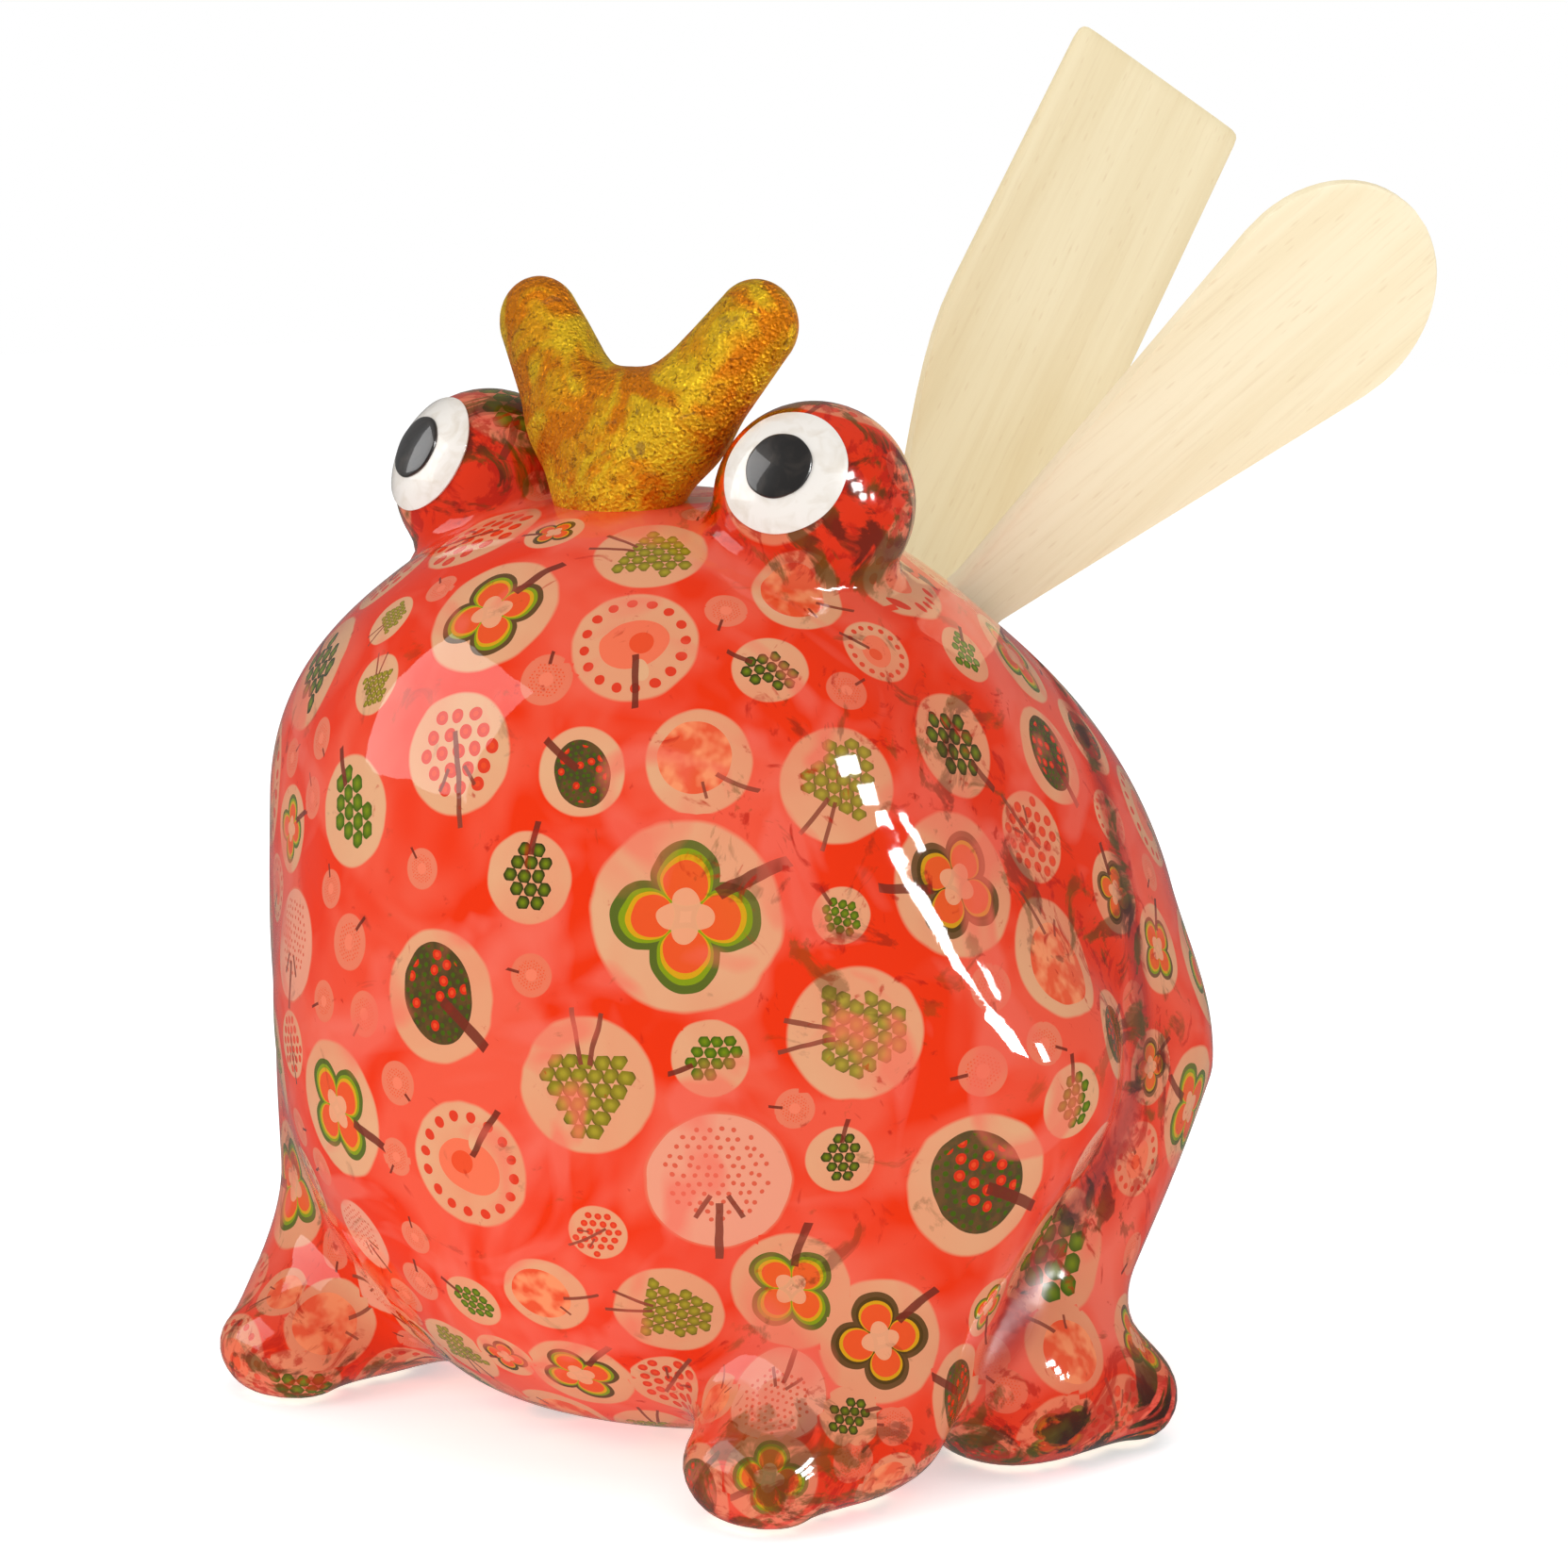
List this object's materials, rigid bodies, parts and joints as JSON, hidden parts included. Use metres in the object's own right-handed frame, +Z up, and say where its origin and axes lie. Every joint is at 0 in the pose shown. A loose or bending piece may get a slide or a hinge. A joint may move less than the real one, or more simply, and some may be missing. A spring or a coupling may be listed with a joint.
{
  "type": "utensil holder",
  "caption": "Round seated frog in glazed ceramic with a gold crown, its hollow body holding a flat and a round wooden spatula through a mouth in its back.",
  "frame": {"origin": "middle of the flat base under the belly, on the plane it stands on", "axes": "+Z up, the frog faces -Y, its left side is +X"},
  "size_m": [0.1804, 0.2471, 0.2519],
  "materials": {
    "printed_glaze": "printed paper under a thick clear gloss glaze",
    "gold_leaf": "crackled gold leaf under clear gloss",
    "eye_white": "hand-painted white enamel",
    "pupil_black": "hand-painted black enamel",
    "beech": "sanded pale beech, unfinished"
  },
  "bodies": {
    "pot": {"body_shell": "printed_glaze", "crown": "gold_leaf", "left_eye_bulb": "printed_glaze", "right_eye_bulb": "printed_glaze", "left_eye_white": "eye_white", "right_eye_white": "eye_white", "left_pupil": "pupil_black", "right_pupil": "pupil_black", "front_left_leg": "printed_glaze", "front_right_leg": "printed_glaze", "rear_left_leg": "printed_glaze", "rear_right_leg": "printed_glaze", "front_left_foot": "printed_glaze", "front_right_foot": "printed_glaze", "rear_left_foot": "printed_glaze", "rear_right_foot": "printed_glaze"},
    "flat_spatula": {"flat_spatula": "beech"},
    "round_spatula": {"round_spatula": "beech"}
  },
  "joints": [
    {"name": "flat_lift", "type": "slide", "parent": "pot", "child": "flat_spatula", "axis": [0.0503, 0.6122, 0.7891], "range_m": [0, 0.16]},
    {"name": "round_lift", "type": "slide", "parent": "pot", "child": "round_spatula", "axis": [0.5756, 0.4934, 0.6521], "range_m": [0, 0.16]}
  ]
}
